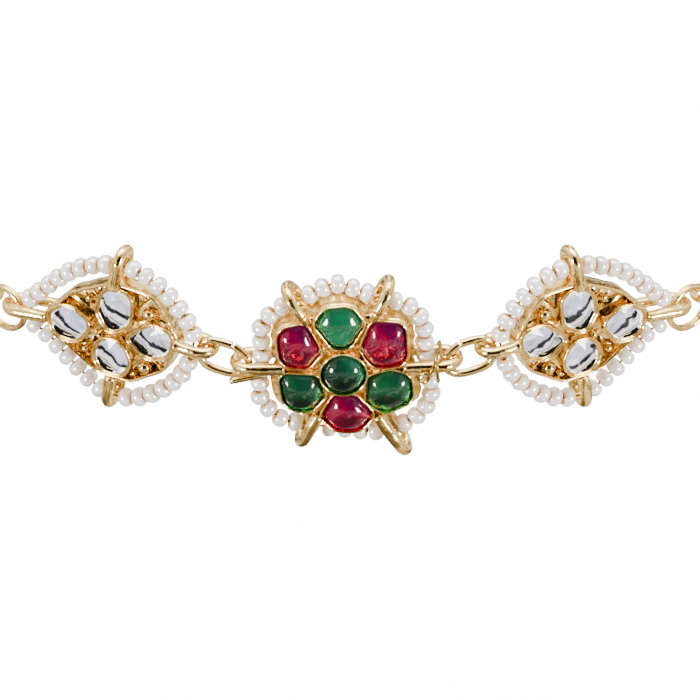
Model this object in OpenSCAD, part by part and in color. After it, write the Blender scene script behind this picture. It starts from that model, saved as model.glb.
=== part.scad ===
/* [Band] */
// Radius of the level circle on which the faces of the three motifs stand
head_radius = 86; // [85.5:0.5:87.5]
// Angle from the front at which each drop motif stands
drop_angle = 26.7; // [26.3:0.1:27]
// Thickness of the wire of the cast loops
loop_wire = 2.0; // [1.9:0.05:2.1]

/* [Flower] */
// Depth of the flower's setting behind its rims
flower_depth = 6.6; // [6.4:0.1:7]
// Thickness of the wall round each cup
cup_wall = 0.5; // [0.4:0.05:0.55]
// Depth of the stone seats below the rims
seat_depth = 1.9; // [1.8:0.05:2]
// How far the centre cup stands in front of the petals
centre_rise = 0.9; // [0.7:0.1:1]
// Height of each glass dome above its rim
dome_height = 0.9; // [0.7:0.1:1.1]

/* [Drops] */
// Depth of a drop's setting behind its rims
drop_depth = 3.6; // [3.4:0.1:3.8]
// Thickness of the wall round each polki stone
collet_wall = 0.75; // [0.6:0.05:0.8]
// Part of a polki stone's width that its table takes
table_share = 0.6; // [0.5:0.05:0.7]

/* [Seed beads] */
// Diameter of a bead
bead_d = 3.3; // [3.1:0.05:3.3]
// Length of a bead along its thread
bead_len = 2.2; // [2.1:0.05:2.2]
// Diameter of the hole through a bead
bead_hole = 0.9; // [0.8:0.1:1]
// Diameter of the wire that carries the beads
thread_d = 0.5; // [0.4:0.05:0.55]

/* [Rings and chain] */
// Wire of the jump rings beside the flower
jump_wire = 1.25; // [1.2:0.05:1.3]
// Half the height of those rings, to the middle of their wire
jump_half_height = 2.9; // [2.85:0.05:2.95]
// Half the length of those rings, to the middle of their wire
jump_half_length = 4.2; // [4.15:0.05:4.25]
// Radius of the doubled end rings, to the middle of their wire
end_ring_r = 3.85; // [3.8:0.05:3.9]
// Wire of the doubled end rings
end_wire = 1.0; // [0.9:0.05:1]
// Wire of the chain's links and of the clasp
link_wire = 1.4; // [1.4:0.05:1.5]
// Length of a link, over its wire
link_len = 10; // [9.95:0.05:10.05]
// Width of a link, over its wire
link_width = 6; // [5.8:0.1:6.2]
// Links on each side of the clasp
links_a_side = 28; // [28:1:28]

/* [Hidden] */
$fn = 48;
gap = 0.08;

// Cups of the flower: each outline is a row of corners, with x, y and corner radius.
// A cup with one row is round, and its radius is the third number.
FLOWER_CUPS = [
    [[-0.1, -0.35, 3.7]],
    [
        [-5.1, 9.0, 1.9], [-3.1, 12.0, 2.4], [1.2, 12.3, 2.4],
        [3.5, 9.0, 1.9], [0.8, 4.3, 1.6], [-1.9, 4.3, 1.6]
    ],
    [[4.6, 9.6, 1.9], [10.1, 9.1, 1.9], [10.6, 1.2, 2.2], [4.8, 0.3, 3.0], [2.7, 4.2, 1.6]],
    [
        [3.9, -1.3, 1.6], [7.6, 0.0, 2.6], [11.2, -1.0, 2.4],
        [11.4, -6.0, 2.0], [7.0, -8.4, 1.8], [3.6, -6.4, 1.9]
    ],
    [
        [-1.8, -5.0, 1.0], [2.0, -5.0, 1.0], [5.1, -8.7, 1.4],
        [2.7, -11.9, 2.2], [-1.4, -11.9, 2.2], [-4.0, -9.2, 1.4]
    ],
    [[-11.0, -0.7, 1.5], [-4.5, -1.1, 1.5], [-3.0, -5.0, 2.0], [-5.7, -8.2, 2.2], [-9.9, -7.5, 3.0]],
    [[-11.3, 7.8, 2.4], [-6.3, 9.0, 1.6], [-3.8, 3.3, 1.6], [-6.1, 0.4, 2.2], [-10.6, 0.7, 2.6]]
];
// Domes of the flower's stones, in the same order: x, y and radius, name and colour
FLOWER_DOMES = [
    [-0.1, -0.35, 3.6, "stone_centre", "darkgreen"],
    [-0.8, 8.2, 3.5, "stone_top", "seagreen"],
    [6.8, 4.9, 3.7, "stone_upper_right", "crimson"],
    [7.4, -4.1, 3.5, "stone_lower_right", "darkgreen"],
    [0.5, -8.3, 3.35, "stone_bottom", "crimson"],
    [-7.3, -4.4, 3.5, "stone_lower_left", "darkgreen"],
    [-7.7, 4.4, 3.55, "stone_upper_left", "crimson"]
];
// The plate between the cups
FLOWER_WEB = [
    [-6.6, 9.8, 2], [5.4, 10.4, 2], [10.6, 0.4, 3], [6.4, -10.2, 2], [-5.0, -9.8, 2], [-10.2, -0.2, 3]
];
FLOWER_WEB_TOP = -1;
SEAT_FLOOR = 0.7;
// Pits between the cups, cut through the web
FLOWER_PITS = [
    [[-3.3, 4.3], [-2.0, 3.9], [-2.9, 3.3]],
    [[2.1, 4.3], [1.2, 3.9], [2.2, 3.2]],
    [[4.2, 0.2], [4.4, -0.9], [5.0, -0.4]],
    [[2.9, -4.6], [3.1, -3.9], [3.5, -4.8]],
    [[-3.3, -3.9], [-2.6, -4.6], [-3.0, -5.2]],
    [[-5.2, -0.3], [-4.4, 0.3], [-4.2, -0.6]]
];
// Loops round the flower: angle, reach of the root, reach of the tip and bend of the tip
FLOWER_LOOPS = [
    [180, 10.0, 18.2, 2.75], [124.5, 10.6, 17.0, 3], [63.5, 10.6, 17.0, 3],
    [2, 10.0, 19.0, 2.75], [301.5, 10.6, 20.1, 3], [244.5, 10.0, 17.2, 3]
];
FLOWER_ARM_Z = -0.5;
// End of wire soldered under the front arm of the left loop
STUB_D = 1.1;
STUB_ENDS = [[-19.05, -2.5, -0.9], [-13.2, -1.25, -0.9]];
// The flower stands a little left of the middle between the drops
FLOWER_SHIFT = -0.45;

// Stone openings of a drop: outlines as above, from the corners' x, y and radius
DROP_CUPS = [
    [[0.9, 9.8, 2.2], [-2.7, 9.4, 2.0], [-2.2, 3.7, 2.0], [1.5, 1.6, 1.3], [3.3, 4.7, 2.0], [2.7, 8.0, 2.4]],
    [[12.6, 1.9, 1.7], [9.3, 4.4, 2.3], [5.2, 1.7, 1.4], [7.7, -2.0, 2.1], [11.6, -1.7, 1.9]],
    [[-2.1, 1.0, 0.8], [-6.5, 4.6, 2.8], [-10.3, 4.0, 1.6], [-9.5, -0.2, 2.1], [-5.4, -1.7, 2.5]],
    [
        [2.9, -0.5, 2.3], [-0.7, -0.5, 2.1], [-2.0, -3.8, 1.7],
        [-0.8, -6.4, 2.1], [3.1, -6.4, 2.3], [4.1, -3.4, 1.9]
    ]
];
// Middle and name of each polki stone, in the same order
DROP_STONES = [
    [0.4, 6.1, "stone_top"], [9.0, 1.1, "stone_outer"],
    [-6.6, 1.6, "stone_inner"], [1.1, -3.4, "stone_bottom"]
];
DROP_PLATE = 1.4;
DROP_BAND = 0.7;
DROP_BAND_TOP = -0.3;
GIRDLE_TOP = -0.75;
TABLE_HEIGHT = -0.15;
GIRDLE_SHARE = 0.96;
DROP_OUTLINE = [
    [14.0, 1.7, 1.2], [8.8, 7.4, 6], [1.0, 11.4, 8], [-7.1, 10.8, 4.7], [-11.9, 2.9, 3.5],
    [-9.2, -3.6, 5], [-2.5, -7.9, 5], [4.6, -7.2, 5], [12.7, -1.7, 2.5]
];
// Windows cut through a drop's plate, as rows of corners
DROP_WINDOWS = [
    [[9.4, 5.9], [7.0, 7.3], [6.3, 5.7]],
    [[5.7, 8.2], [3.6, 8.9], [4.7, 6.9]],
    [[5.7, 5.0], [4.6, 4.9], [4.8, 3.4]],
    [[-3.8, 9.8], [-6.2, 9.3], [-4.2, 7.8]],
    [[-7.9, 7.8], [-9.0, 5.6], [-7.0, 5.6]],
    [[-2.7, -1.3], [-4.6, -2.5], [-3.5, -3.6]],
    [[-6.2, -2.9], [-8.4, -2.2], [-7.0, -3.9]],
    [[5.4, -1.6], [6.5, -2.9], [5.5, -2.9]],
    [[2.6, 0.9], [-0.7, 1.5], [-1.0, 0.6], [2.4, 0.4]]
];
// Balls soldered on a drop's plate: x, y and radius
DROP_BALLS = [
    [5.6, 6.4, 0.75], [3.7, -0.3, 0.8], [-5.7, 6.4, 1.15],
    [-4.8, -4.3, 1.15], [6.5, -3.8, 0.75], [-2.6, -6.3, 0.55]
];
// Loops round a drop: x and y of the base, then of the tip, and bend of the tip
DROP_LOOPS = [
    [13.2, 1.2, 21.4, 0.6, 2.3], [0.35, 10.5, -0.5, 16.7, 2.15],
    [-11.2, 2.4, -17.0, 1.9, 2.3], [1.2, -7.2, 2.1, -13.4, 2.4]
];
DROP_ARM_Z = -0.1;

// Routes of the bead wires, closed, as x, y and z. Each parting is a place where a loop comes
// between two strands, as x and y, then the gap before it and after it. The counts are the beads from
// one parting to the next.
FLOWER_ROUTE = [
    [-7.9, 11.5, -3.3], [-4.6, 13.8, -3.3], [-1.1, 15.1, -3.3], [2.5, 13.9, -3.3], [6.2, 12.3, -3.3],
    [9.5, 11.5, -3.3], [11.85, 9.8, -3.3], [13.3, 6.7, -3.3], [13.45, 2.8, -3.3], [13.9, -1.3, -3.3],
    [14.6, -5.9, -3.3], [12.7, -10.2, -3.3], [7.8, -13.4, -3.4], [4.4, -14.1, -3.8], [1.6, -14.2, -4.5],
    [-2.0, -14.1, -4.8], [-5.7, -12.8, -4.2], [-10.4, -11.4, -3.3], [-14.0, -7.1, -3.3],
    [-13.8, -2.4, -3.3], [-13.6, 2.3, -3.3], [-13.9, 6.2, -3.3], [-11.5, 10.0, -3.3]
];
FLOWER_PARTINGS = [
    [-7.9, 11.5, 1.25, 1.25], [6.2, 12.3, 1.25, 1.2], [7.8, -13.4, 1.25, 1.25], [-5.7, -12.8, 2.2, 1.25]
];
FLOWER_BEAD_COUNTS = [5, 12, 4, 11];
DROP_ROUTE = [
    [18.2, 0.8, -2.0], [17.0, 2.9, -1.8], [15.0, 5.0, -1.7], [12.9, 7.15, -1.7], [10.8, 9.2, -1.7],
    [8.6, 10.95, -1.7], [6.2, 12.2, -1.7], [3.3, 13.4, -1.7], [0.0, 14.1, -1.7], [-2.8, 14.0, -1.7],
    [-5.2, 13.2, -1.7], [-7.4, 12.0, -1.7], [-9.5, 10.4, -1.7], [-11.2, 8.6, -1.7], [-12.7, 6.6, -1.7],
    [-13.6, 4.3, -1.9], [-13.5, 1.2, -2.1], [-12.2, -2.4, -2.3], [-10.7, -5.1, -2.3], [-8.7, -7.3, -2.3],
    [-5.8, -9.7, -2.3], [-2.5, -11.4, -2.3], [1.8, -12.3, -2.3], [5.0, -11.0, -2.3], [8.4, -8.5, -2.3],
    [11.3, -6.0, -2.3], [14.0, -3.6, -2.3], [16.2, -2.3, -2.2], [17.9, -0.8, -2.1]
];
DROP_PARTINGS = [
    [18.2, 0.8, 2.5, 1.25], [0.0, 14.1, 1.25, 1.25], [-13.5, 1.2, 1.9, 1.9], [1.8, -12.3, 1.25, 1.25]
];
DROP_BEAD_COUNTS = [8, 7, 7, 7];

// Wire tied round both arms of the flower's right loop, from its eye to its cut end
TIE_D = 0.45;
// No stretch of the tie wire runs this way, so its section never turns over
TIE_ASIDE = [1, -1, -1];
TIE_ROUTE = [
    [14.4, -0.3, 1.45], [13.7, 0.3, 1.3], [12.9, 0.1, 1.05], [12.4, -0.9, 0.7], [13.2, -1.8, 0.6],
    [14.0, -1.2, 0.75], [14.45, 0.3, 0.9], [15.25, 1.65, 0.38], [16.0, 1.9, -0.6], [16.1, 1.9, -2.2],
    [16.05, 1.9, -4.4], [15.95, 1.95, -6.2], [15.65, 0.5, -7.5], [15.5, -0.95, -6.0], [15.4, -0.5, -4.75],
    [15.35, 1.3, -4.5], [15.3, 2.0, -3.2], [15.2, 2.45, -1.4], [15.15, 2.5, -0.2], [15.4, 1.75, 0.98],
    [15.6, 0.3, 1.2], [15.7, -1.3, 0.75]
];

SIDES = ["left", "right"];
DROP_PIECES = ["drop_setting", "drop_beads", "drop_bead_wire", "jump_ring", "end_ring", "chain"];

// A point of the drop's own frame, and where the loops beside it have their tips, all seen from above
function on_drop(x, z) = [
    (head_radius + z) * sin(drop_angle) + x * cos(drop_angle),
    -(head_radius + z) * cos(drop_angle) + x * sin(drop_angle)
];
inner_tip = on_drop(DROP_LOOPS[2][2], DROP_ARM_Z - DROP_LOOPS[2][4]);
flower_tip = [FLOWER_LOOPS[0][2] - FLOWER_SHIFT, FLOWER_LOOPS[0][3] - FLOWER_ARM_Z - head_radius];

// Jump rings: how far the middle is moved from halfway between the tips, its height, tilt and cut
JUMP_SHIFT = [-0.1, 0.3];
JUMP_HEIGHT = 0.6;
JUMP_TILT = 10;
JUMP_CUT = 0.16;
JUMP_CUT_PLACE = -1.0;
JUMP_CUT_TURN = -12;

// End rings: where the wire passes through the drop's outer loop, the height of the middle and the turn
END_RING_PLACE = 18.6;
END_RING_DROP = -1.15;
END_RING_TURN = 38;
end_ring_way = [cos(END_RING_TURN), sin(END_RING_TURN)];
end_ring_near = on_drop(END_RING_PLACE, DROP_ARM_Z - DROP_LOOPS[0][4]);
end_ring_at = end_ring_near + end_ring_r * end_ring_way;
end_ring_far = end_ring_near + 2 * end_ring_r * end_ring_way;

// The chain lies on a circle, and its lengths are counted along it from the end ring
LINK_PLAY = 0.15;
RING_PLAY = 0.7;
chain_radius = norm(end_ring_far);
chain_start = atan2(end_ring_far.x, -end_ring_far.y);
arc_degree = 180 / (PI * chain_radius);
link_inner_half = link_len / 2 - link_wire;
link_pitch = 2 * link_inner_half - LINK_PLAY;
first_link = link_inner_half - end_wire / 2 - RING_PLAY;
last_link_gap = (180 - chain_start) / arc_degree - first_link - (links_a_side - 1) * link_pitch;
CLASP_RING_R = 2.6;
CLASP_PLAY = 0.3;
CLASP_BEND = 1.65;
CLASP_KNOB = 0.5;
CLASP_REACH = 0.1;
CLASP_SHOULDER = 2;
CLASP_TIP = 2.4;
clasp_eye = last_link_gap - (link_inner_half - link_wire / 2 + CLASP_RING_R - CLASP_PLAY);

function unit(v) = v / norm(v);
function short_way(a) = a - 360 * round(a / 360);
function wrap(list, i) = list[(i + len(list)) % len(list)];
function flat(p) = [p.x, p.y];

// Points of an outline whose corners are rounded, or of a circle where it has one row
function corner(p, a, b, r, steps) =
    let (
        to_a = unit(a - p), to_b = unit(b - p), half = acos(to_a * to_b) / 2,
        middle = p + unit(to_a + to_b) * r / sin(half),
        first = p + to_a * r / tan(half) - middle, last = p + to_b * r / tan(half) - middle,
        start = atan2(first.y, first.x), sweep = short_way(atan2(last.y, last.x) - start)
    ) [for (k = [0:steps]) middle + r * [cos(start + sweep * k / steps), sin(start + sweep * k / steps)]];
function rounded(rows, steps = 6) =
    len(rows) == 1
        ? [for (k = [0:47]) flat(rows[0]) + rows[0].z * [cos(k * 7.5), sin(k * 7.5)]]
        : [for (i = [0:len(rows) - 1])
            each corner(flat(rows[i]), flat(wrap(rows, i - 1)), flat(wrap(rows, i + 1)), rows[i].z, steps)];

// Smooth curve through a list of points
CURVE_STEPS = 8;
function spline(a, b, c, d, t) =
    0.5 * (2 * b + (c - a) * t + (2 * a - 5 * b + 4 * c - d) * t * t + (3 * b - a - 3 * c + d) * t * t * t);
function closed_curve(route) =
    [for (i = [0:len(route) - 1]) for (k = [0:CURVE_STEPS - 1])
        spline(wrap(route, i - 1), route[i], wrap(route, i + 1), wrap(route, i + 2), k / CURVE_STEPS)];
function open_curve(route, steps) =
    [for (i = [0:len(route) - 2]) for (k = [0:steps - 1])
        spline(route[max(i - 1, 0)], route[i], route[i + 1], route[min(i + 2, len(route) - 1)], k / steps),
     route[len(route) - 1]];

// Running length along a closed curve, and the place at a given length
function lengths(curve) =
    [for (i = 0, s = 0; i <= len(curve); s = s + norm(wrap(curve, i + 1) - wrap(curve, i)), i = i + 1) s];
function place(curve, run, s) =
    let (
        total = run[len(curve)], want = s - total * floor(s / total),
        i = [for (j = [0:len(curve) - 1]) if (run[j] <= want && want < run[j + 1]) j][0],
        a = curve[i], b = wrap(curve, i + 1)
    ) a + (b - a) * (want - run[i]) / (run[i + 1] - run[i]);
function length_at(curve, run, p) =
    let (far = [for (q = curve) norm(flat(q) - flat(p))]) run[search(min(far), far)[0]];

// Places of the beads: each strand runs from one parting to the next and is filled evenly
function bead_places(route, partings, counts) =
    let (
        curve = closed_curve(route), run = lengths(curve), total = run[len(curve)],
        starts = [for (p = partings) length_at(curve, run, p)]
    ) [for (k = [0:len(counts) - 1])
        let (
            from = starts[k] + partings[k][3], next = wrap(starts, k + 1) - wrap(partings, k + 1)[2],
            to = next < from ? next + total : next, pitch = (to - from) / counts[k]
        ) for (n = [0:counts[k] - 1])
            let (
                s = from + (n + 0.5) * pitch, middle = place(curve, run, s),
                way = unit(place(curve, run, s + bead_len / 2) - place(curve, run, s - bead_len / 2))
            ) [middle, way]];

// Closed tube of six sides through the middles of the beads
THREAD_SIDES = 6;
module bead_thread(places) {
    stops = [for (p = places) each [p[0] - p[1] * bead_len / 2, p[0] + p[1] * bead_len / 2]];
    ways = [for (p = places) each [p[1], p[1]]];
    n = len(stops);
    points = [for (i = [0:n - 1]) for (k = [0:THREAD_SIDES - 1])
        let (
            across = unit([ways[i].y, -ways[i].x, 0]), up = cross(across, ways[i]), a = k * 360 / THREAD_SIDES
        ) stops[i] + thread_d / 2 * (across * cos(a) + up * sin(a))];
    faces = [for (i = [0:n - 1]) for (k = [0:THREAD_SIDES - 1])
        let (i2 = (i + 1) % n, k2 = (k + 1) % THREAD_SIDES, m = THREAD_SIDES)
            each [[i * m + k, i * m + k2, i2 * m + k2], [i * m + k, i2 * m + k2, i2 * m + k]]];
    polyhedron(points, faces);
}

// Open tube of six sides along a route in space
module wire(route, d, steps) {
    path = open_curve(route, steps);
    n = len(path);
    m = THREAD_SIDES;
    points = [for (i = [0:n - 1])
        let (
            way = unit(path[min(i + 1, n - 1)] - path[max(i - 1, 0)]),
            across = unit(cross(way, TIE_ASIDE)), up = cross(way, across)
        ) for (k = [0:m - 1]) path[i] + d / 2 * (across * cos(k * 360 / m) + up * sin(k * 360 / m))];
    sides = [for (i = [0:n - 2]) for (k = [0:m - 1])
        let (a = i * m + k, b = i * m + (k + 1) % m) each [[a, b + m, b], [a, a + m, b + m]]];
    polyhedron(points, [[for (k = [0:m - 1]) k], each sides, [for (k = [m - 1:-1:0]) (n - 1) * m + k]]);
}

// A cast loop: two arms one above the other, joined by a half ring at the tip
module loop(base, tip, arm_z, bend) {
    way = tip - base;
    run = norm(way) - bend;
    translate([base.x, base.y, arm_z - bend]) rotate([0, 0, atan2(way.y, way.x)]) {
        for (side = [-1, 1])
            translate([0, 0, side * bend]) rotate([0, 90, 0]) cylinder(d = loop_wire, h = run);
        translate([run, 0, 0]) rotate([90, 0, 0]) rotate([0, 0, -90])
            rotate_extrude(angle = 180) translate([bend, 0]) circle(d = loop_wire);
    }
}

// Flat piece of an outline, between two heights, grown outward by a wall
module slab(rows, low, high, grow = 0) {
    translate([0, 0, low]) linear_extrude(high - low) offset(delta = grow) polygon(rounded(rows));
}

// A cut that goes past both faces of a setting
PAST = 10;
module cut_through(outline) {
    translate([0, 0, -PAST]) linear_extrude(2 * PAST) polygon(outline);
}

module at_front() { translate([0, -head_radius, 0]) rotate([90, 0, 0]) children(); }
module at_flower() { translate([FLOWER_SHIFT, 0, 0]) at_front() children(); }
module at_drop() { rotate([0, 0, drop_angle]) at_front() children(); }
module on_side(side) { if (side == "left") mirror([1, 0, 0]) children(); else children(); }

function cup_rise(i) = i == 0 ? centre_rise : 0;

module flower_setting() {
    color("gold") at_flower() difference() {
        union() {
            for (i = [0:len(FLOWER_CUPS) - 1]) slab(FLOWER_CUPS[i], -flower_depth, cup_rise(i), cup_wall);
            slab(FLOWER_WEB, -seat_depth - SEAT_FLOOR, FLOWER_WEB_TOP);
            for (row = FLOWER_LOOPS) let (way = [cos(row[0]), sin(row[0])])
                loop(way * row[1], way * row[2], FLOWER_ARM_Z, row[3]);
            rod(STUB_ENDS[0], STUB_ENDS[1], STUB_D);
        }
        for (i = [0:len(FLOWER_CUPS) - 1]) {
            slab(FLOWER_CUPS[i], cup_rise(i) - seat_depth, PAST);
            slab(FLOWER_CUPS[i], -PAST, -seat_depth - SEAT_FLOOR);
        }
        for (pit = FLOWER_PITS) cut_through(pit);
    }
}

module flower_stone(i) {
    dome = FLOWER_DOMES[i];
    low = cup_rise(i) - seat_depth + gap;
    spring = low + 1;
    height = cup_rise(i) + dome_height - spring;
    ball = (dome[2] * dome[2] + height * height) / (2 * height);
    color(dome[4]) at_flower() {
        slab(FLOWER_CUPS[i], low, spring, -gap);
        intersection() {
            translate([dome[0], dome[1], spring + height - ball]) sphere(r = ball);
            translate([dome[0], dome[1], low]) cylinder(r = dome[2], h = PAST);
            slab(FLOWER_CUPS[i], low, PAST, -gap);
        }
    }
}

// A bead is round like a tyre, with a straight hole
module bead() {
    rotate_extrude() intersection() {
        translate([(bead_d - bead_len) / 2, 0]) circle(d = bead_len);
        translate([bead_hole / 2, -bead_len / 2]) square([bead_d, bead_len]);
    }
}

module strung(places) {
    for (p = places) let (way = p[1])
        translate(p[0]) rotate([0, 90 - asin(way.z), atan2(way.y, way.x)]) bead();
}

flower_places = bead_places(FLOWER_ROUTE, FLOWER_PARTINGS, FLOWER_BEAD_COUNTS);
drop_places = bead_places(DROP_ROUTE, DROP_PARTINGS, DROP_BEAD_COUNTS);

module flower_beads() { color("ivory") at_flower() strung(flower_places); }
module flower_bead_wire() { color("goldenrod") at_flower() bead_thread(flower_places); }
module flower_tie_wire() { color("goldenrod") at_flower() wire(TIE_ROUTE, TIE_D, 4); }

// A ball that rests on the plate, with the solder under it
module soldered_ball(ball, plate) {
    translate([ball.x, ball.y, plate]) {
        translate([0, 0, ball.z]) sphere(r = ball.z);
        translate([0, 0, -ball.z / 2]) cylinder(r = ball.z * 0.7, h = ball.z);
    }
}

module drop_setting() {
    low = -drop_depth;
    color("gold") at_drop() difference() {
        union() {
            slab(DROP_OUTLINE, low, low + DROP_PLATE);
            difference() {
                slab(DROP_OUTLINE, low, DROP_BAND_TOP);
                slab(DROP_OUTLINE, -PAST, PAST, -DROP_BAND);
            }
            for (rows = DROP_CUPS) slab(rows, low, 0, collet_wall);
            for (ball = DROP_BALLS) soldered_ball(ball, low + DROP_PLATE);
            for (row = DROP_LOOPS) loop([row[0], row[1]], [row[2], row[3]], DROP_ARM_Z, row[4]);
        }
        for (rows = DROP_CUPS) slab(rows, low + DROP_PLATE, PAST);
        for (window = DROP_WINDOWS) cut_through(window);
    }
}

// A polki stone: flat back, upright girdle, sloping facets and a table
module drop_stone(i) {
    middle = [DROP_STONES[i][0], DROP_STONES[i][1]];
    outline = rounded(DROP_CUPS[i], 1);
    n = len(outline);
    ring = function (share, z) [for (p = outline) [each middle + (p - middle) * share, z]];
    low = -drop_depth + DROP_PLATE + gap;
    points = concat(ring(GIRDLE_SHARE, low), ring(GIRDLE_SHARE, GIRDLE_TOP), ring(table_share, TABLE_HEIGHT));
    side = function (from) [for (k = [0:n - 1])
        let (next = (k + 1) % n) [from + k, from + n + k, from + n + next, from + next]];
    back = [for (k = [0:n - 1]) k];
    table = [for (k = [n - 1:-1:0]) 2 * n + k];
    color("lavender") at_drop() polyhedron(points, [back, each side(0), each side(n), table]);
}

module drop_beads() { color("ivory") at_drop() strung(drop_places); }
module drop_bead_wire() { color("goldenrod") at_drop() bead_thread(drop_places); }

// A link or oval ring lying in the XY plane, its length along X
module oval(half_length, half_width, d) {
    straight = half_length - half_width;
    for (side = [-1, 1]) {
        translate([side * straight, 0, 0]) rotate([0, 0, -90 * side])
            rotate_extrude(angle = 180) translate([half_width, 0]) circle(d = d);
        translate([-straight, side * half_width, 0]) rotate([0, 90, 0]) cylinder(d = d, h = 2 * straight);
    }
}

// The ring stands upright in the two loops, turned half as far as the drop, and is cut open at the top
module jump_ring() {
    middle = (inner_tip + flower_tip) / 2 + JUMP_SHIFT;
    color("gold") translate([middle.x, middle.y, JUMP_HEIGHT]) rotate([90, 0, drop_angle / 2])
        rotate([0, 0, JUMP_TILT]) difference() {
            oval(jump_half_length, jump_half_height, jump_wire);
            translate([JUMP_CUT_PLACE, jump_half_height, 0]) rotate([0, 0, JUMP_CUT_TURN])
                cube([JUMP_CUT, 2 * jump_wire, 2 * jump_wire], center = true);
        }
}

// A ring of wire that goes round twice, drawn as two turns that touch
module end_ring() {
    turn_apart = end_wire / 2 - 0.05;
    color("gold") translate([end_ring_at.x, end_ring_at.y, END_RING_DROP]) rotate([90, 0, END_RING_TURN])
        rotate_extrude() for (side = [-1, 1]) translate([end_ring_r, side * turn_apart]) circle(d = end_wire);
}

module on_circle(angle) { rotate([0, 0, angle]) translate([0, -chain_radius, 0]) children(); }

module chain() {
    color("gold") for (k = [0:links_a_side - 1])
        on_circle(chain_start + (first_link + k * link_pitch) * arc_degree)
            rotate([k % 2 == 0 ? 0 : 90, 0, 0])
                oval((link_len - link_wire) / 2, (link_width - link_wire) / 2, link_wire);
}

module ring(r, d) { rotate_extrude() translate([r, 0]) circle(d = d); }
module rod(from, to, d) {
    way = to - from;
    translate(from) rotate([0, acos(way.z / norm(way)), atan2(way.y, way.x)]) cylinder(d = d, h = norm(way));
}

module knob(at) { translate(at) rotate([0, 90, 0]) sphere(d = link_wire + CLASP_KNOB); }

// The eye takes the chain on one side, and the hook holds the ring on the other
module clasp_hook() {
    near = clasp_eye - CLASP_RING_R;
    shoulder = near - CLASP_SHOULDER;
    turn_x = -near - CLASP_REACH;
    color("gold") on_circle(180) {
        translate([clasp_eye, 0, 0]) ring(CLASP_RING_R, link_wire);
        knob([near, 0, 0]);
        rod([near, 0, 0], [shoulder, 0, CLASP_BEND], link_wire);
        knob([shoulder, 0, CLASP_BEND]);
        translate([turn_x, 0, CLASP_BEND]) rotate([0, 90, 0]) cylinder(d = link_wire, h = shoulder - turn_x);
        translate([turn_x, 0, 0]) rotate([90, 0, 0]) rotate([0, 0, 90])
            rotate_extrude(angle = 180) translate([CLASP_BEND, 0]) circle(d = link_wire);
        translate([turn_x, 0, -CLASP_BEND]) rotate([0, 90, 0]) cylinder(d = link_wire, h = CLASP_TIP);
        knob([turn_x + CLASP_TIP, 0, -CLASP_BEND]);
    }
}

module clasp_ring() {
    color("gold") on_circle(180) translate([-clasp_eye, 0, 0]) ring(CLASP_RING_R, link_wire);
}

module side_piece(side, piece) {
    on_side(side) {
        if (piece == "drop_setting") drop_setting();
        if (piece == "drop_beads") drop_beads();
        if (piece == "drop_bead_wire") drop_bead_wire();
        if (piece == "jump_ring") jump_ring();
        if (piece == "end_ring") end_ring();
        if (piece == "chain") chain();
    }
}

flower_setting();
for (i = [0:len(FLOWER_DOMES) - 1])
    flower_stone(i);
flower_beads();
flower_bead_wire();
flower_tie_wire();
for (side = SIDES) for (piece = DROP_PIECES)
    side_piece(side, piece);
for (side = SIDES) for (i = [0:len(DROP_STONES) - 1])
    on_side(side) drop_stone(i);
clasp_hook();
clasp_ring();
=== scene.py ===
import math
import random

import bmesh
import bpy
from mathutils import Matrix, Vector, noise


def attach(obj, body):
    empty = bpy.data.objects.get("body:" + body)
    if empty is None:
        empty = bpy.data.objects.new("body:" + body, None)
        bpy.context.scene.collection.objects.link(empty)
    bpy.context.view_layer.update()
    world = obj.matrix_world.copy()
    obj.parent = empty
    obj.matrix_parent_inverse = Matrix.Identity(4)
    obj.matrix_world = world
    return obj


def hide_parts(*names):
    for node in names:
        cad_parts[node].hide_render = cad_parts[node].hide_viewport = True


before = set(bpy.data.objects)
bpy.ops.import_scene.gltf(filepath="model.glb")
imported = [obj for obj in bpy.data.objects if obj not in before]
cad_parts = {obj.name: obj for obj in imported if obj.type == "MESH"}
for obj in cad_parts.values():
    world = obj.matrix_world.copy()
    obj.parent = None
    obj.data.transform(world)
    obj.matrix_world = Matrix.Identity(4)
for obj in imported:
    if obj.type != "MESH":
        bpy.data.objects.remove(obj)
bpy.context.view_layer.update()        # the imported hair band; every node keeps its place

# The unevenness of the castings is the same in every run
noise.seed_set(5)

# Sizes below are millimetres in a motif's own frame: x outward along the band, y up, z to the viewer
MM = 0.001
HEAD_RADIUS = 86.0
FLOWER_SHIFT = -0.45
DROP_ANGLE = math.radians(26.7)
FRONT = (
    Matrix.Scale(MM, 4) @ Matrix.Translation((0, -HEAD_RADIUS, 0)) @ Matrix.Rotation(math.radians(90), 4, "X")
)
FLOWER = Matrix.Translation((FLOWER_SHIFT * MM, 0, 0)) @ FRONT
RIGHT = Matrix.Rotation(DROP_ANGLE, 4, "Z") @ FRONT
MIRROR = Matrix.Scale(-1, 4, (1, 0, 0))
SIDES = {"left": MIRROR, "right": Matrix.Identity(4)}

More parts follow.
